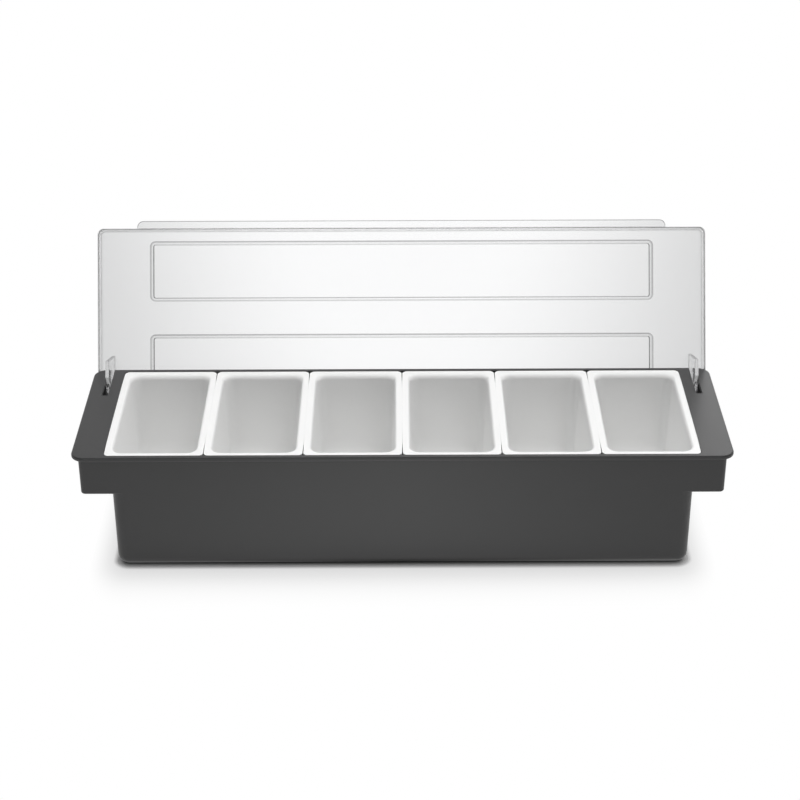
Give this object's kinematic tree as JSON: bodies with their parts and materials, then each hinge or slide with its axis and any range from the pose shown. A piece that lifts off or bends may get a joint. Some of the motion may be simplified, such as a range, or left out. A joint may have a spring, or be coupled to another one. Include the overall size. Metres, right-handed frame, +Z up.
{
  "type": "condiment caddy",
  "caption": "Long moulded caddy with a row of lift-out inserts, grip wings at both ends and one clear hinged lid with a finger lip.",
  "frame": {"origin": "centre of the flat underside, on the surface the caddy stands on", "axes": "+X along the row of inserts, +Y to the back where the lid is hinged, +Z up"},
  "size_m": [0.5, 0.2149, 0.2057],
  "materials": {
    "base_plastic": "satin charcoal ABS",
    "insert_plastic": "smooth white polypropylene",
    "lid_clear": "clear polycarbonate"
  },
  "bodies": {
    "base": {"base": "base_plastic"},
    "insert_1": {"insert_1": "insert_plastic"},
    "insert_2": {"insert_2": "insert_plastic"},
    "insert_3": {"insert_3": "insert_plastic"},
    "insert_4": {"insert_4": "insert_plastic"},
    "insert_5": {"insert_5": "insert_plastic"},
    "insert_6": {"insert_6": "insert_plastic"},
    "lid": {"lid": "lid_clear"}
  },
  "joints": [
    {"name": "lid_hinge", "type": "hinge", "parent": "base", "child": "lid", "pos_m": [0, 0.0585, 0.0876], "axis": [-1, 0, 0], "range_deg": [-117.3, 0]},
    {"name": "insert_1_lift", "type": "slide", "parent": "base", "child": "insert_1", "axis": [0, 0, 1], "range_m": [0, 0.11]},
    {"name": "insert_2_lift", "type": "slide", "parent": "base", "child": "insert_2", "axis": [0, 0, 1], "range_m": [0, 0.11]},
    {"name": "insert_3_lift", "type": "slide", "parent": "base", "child": "insert_3", "axis": [0, 0, 1], "range_m": [0, 0.11]},
    {"name": "insert_4_lift", "type": "slide", "parent": "base", "child": "insert_4", "axis": [0, 0, 1], "range_m": [0, 0.11]},
    {"name": "insert_5_lift", "type": "slide", "parent": "base", "child": "insert_5", "axis": [0, 0, 1], "range_m": [0, 0.11]},
    {"name": "insert_6_lift", "type": "slide", "parent": "base", "child": "insert_6", "axis": [0, 0, 1], "range_m": [0, 0.11]}
  ]
}
